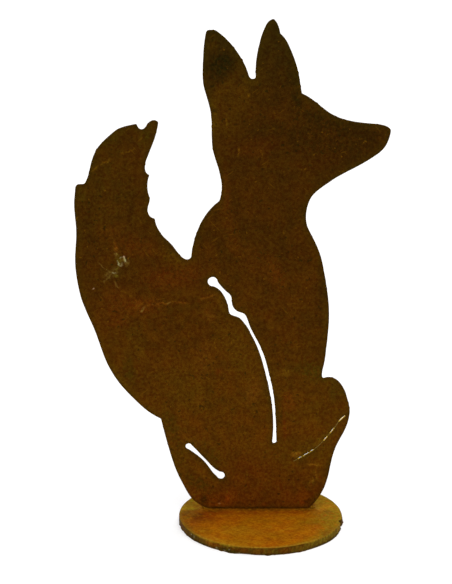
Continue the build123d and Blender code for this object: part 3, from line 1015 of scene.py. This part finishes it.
def base_rust():
    """Brighter orange rust on the plate, olive towards its edge, with a dark cut rim."""
    s = Shader("base_rust")
    apart = s.moved(scale=(1, 1, FACES_APART))
    patches = s.noise(24 * MM, 3, 0.6, apart)
    drift = s.noise(8 * MM, 3, 0.65, apart)
    streaks = s.noise(1.3 * MM, 2, 0.6, s.stretched((4, 1, 1 / FACES_APART), (0, 0, math.radians(36))))
    colour = s.tint(BASE_RUST, s.spread(patches, 0.3, 0.7), (0.85, 0.96, 1.0), (1.14, 1.03, 1.0))
    colour = s.tint(colour, s.spread(drift, 0.3, 0.7), (0.86, 0.80, 1.0), (1.14, 1.22, 1.0))
    colour = s.tint(colour, s.spread(streaks, 0.3, 0.7), (0.96, 0.93, 1.0), (1.04, 1.07, 1.0))
    wander = s.wandering(6 * MM, 3 * MM)
    breakup = s.spread(s.noise(3 * MM, 2, 0.6, apart), 0.30, 0.62, 0.45, 1)
    gap = s.attribute("edge_gap")
    share = s.attribute("depth_share")
    on_top = s.spread(share, 0.1, 0.14, 1, 0)
    # a lighter band along the plate's top edge: wear, and a painted highlight of the rounded edge
    lighter_edge = s.math("MULTIPLY", s.spread(gap, 0.8 * MM, 3.2 * MM, 1, 0), on_top)
    colour = s.mix(s.math("MULTIPLY", lighter_edge, breakup), colour, BASE_LIP)
    colour = s.flat_marks(colour, BASE_MARKS, wander, breakup, 1)
    colour, relief = mottled(s, colour, apart, 2.2 * MM, 0.9 * MM, 0.75)

    on_cut = s.attribute("cut_face")
    drag = s.drag_lines(2.3 * MM, 2.0 * MM, 1.6)
    rim_drift = s.noise(7 * MM, 3, 0.65, s.place)
    rim_breakup = s.spread(s.noise(3 * MM, 2, 0.6, s.place), 0.30, 0.62, 0.45, 1)
    rim = s.mix(s.spread(rim_drift, 0.38, 0.62), RIM_BROWN, RIM_UMBER)
    rim = s.rim_marks(rim, RIM_MARKS, s.wandering(3 * MM, 1 * MM), rim_breakup)
    rim = s.tint(rim, drag, (0.76, 0.74, 0.8), (1.10, 1.12, 1.1))
    lower = s.spread(share, 0.55, 0.95, 0, 0.6)
    rim = s.mix(s.math("MULTIPLY", lower, rim_breakup), rim, RIM_DARK)
    rim, _ = mottled(s, rim, s.place, 1.8 * MM, 0.8 * MM, 1.1)
    colour = s.mix(on_cut, colour, rim)

    s.set(Base_Color=colour, Roughness=s.spread(relief, 0.3, 0.7, 0.9, 0.7),
          Specular_IOR_Level=0.06, Specular_Tint=(1.0, 0.5, 0.08, 1))
    grooves = s.math("MULTIPLY", s.math("MULTIPLY", drag, on_cut), 0.6)
    s.set(Normal=s.bump(s.math("ADD", relief, grooves), 0.14 * MM))
    return s.material


WELD_BROWN = (0.130, 0.046, 0.002)
WELD_OCHRE = (0.250, 0.115, 0.005)


def weld_rust():
    """Weld metal: brown rust mottled with ochre, a little smoother than the plates'."""
    s = Shader("weld_rust")
    mottle = s.noise(2.2 * MM, 3, 0.6, s.place)
    colour = s.mix(s.spread(mottle, 0.35, 0.65), WELD_BROWN, WELD_OCHRE)
    s.set(Base_Color=colour, Roughness=s.spread(mottle, 0.3, 0.7, 0.85, 0.55),
          Specular_IOR_Level=0.08, Specular_Tint=(1.0, 0.6, 0.2, 1))
    s.set(Normal=s.bump(mottle, 0.05 * MM))
    return s.material


# ---------------------------------------------------------------- stage


FLOOR_REACH = 20  # metres from its middle to its sides
FLOOR_GLOW = 0.44
WORLD_STRENGTH = 0.62


def stage():
    """A pale floor that glows a little, a white world, a soft sun overhead and a weak lamp in front."""
    corners = [(x * FLOOR_REACH, y * FLOOR_REACH, 0) for x, y in ((-1, -1), (1, -1), (1, 1), (-1, 1))]
    floor_mesh = bpy.data.meshes.new("floor")
    floor_mesh.from_pydata(corners, [], [(0, 1, 2, 3)])
    floor = bpy.data.objects.new("floor", floor_mesh)
    bpy.context.scene.collection.objects.link(floor)
    s = Shader("pale_floor")
    s.set(Base_Color=(0.6, 0.6, 0.6, 1), Roughness=0.9, Specular_IOR_Level=0.1)
    s.set(Emission_Color=(1, 1, 1, 1), Emission_Strength=FLOOR_GLOW)
    floor_mesh.materials.append(s.material)

    world = bpy.data.worlds.new("studio")
    world.use_nodes = True
    background = world.node_tree.nodes["Background"]
    background.inputs["Color"].default_value = (1, 1, 1, 1)
    background.inputs["Strength"].default_value = WORLD_STRENGTH
    bpy.context.scene.world = world

    def lamp(name, kind, energy, place, aim):
        light = bpy.data.lights.new(name, kind)
        light.energy = energy
        made = bpy.data.objects.new(name, light)
        made.location = place
        made.rotation_euler = (Vector(place) - Vector(aim)).to_track_quat("Z", "Y").to_euler()
        made.visible_camera = False
        bpy.context.scene.collection.objects.link(made)
        return light

    lamp("overhead", "SUN", 2.0, (0.08, -0.02, 1), (0, 0, 0)).angle = math.radians(60)
    lamp("low_fill", "AREA", 0.4, (-0.05, -0.5, 0.06), (0, 0, 0.05)).size = 0.35

    bpy.context.scene.view_settings.view_transform = "Standard"


def camera():
    data = bpy.data.cameras.new("camera")
    data.lens = CAMERA_LENS
    data.sensor_width = SENSOR_WIDTH
    eye = bpy.data.objects.new("camera", data)
    eye.location = CAMERA_PLACE
    eye.rotation_euler = Euler((math.radians(90 - CAMERA_TILT), 0, 0))
    bpy.context.scene.collection.objects.link(eye)
    bpy.context.scene.camera = eye


# ---------------------------------------------------------------- the figure

camera()
stage()

fox = fox_sheet()
fox.data.materials.append(sheet_rust())
disc = round_plate()
disc.data.materials.append(base_rust())
weld_metal = weld_rust()
beads = [weld_bead("left_weld", 1.9 * MM), weld_bead("right_weld", 1.7 * MM), spatter()]
for bead in beads:
    bead.data.materials.clear()
    bead.data.materials.append(weld_metal)
for piece in (fox, disc, *beads):
    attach(piece, "root")
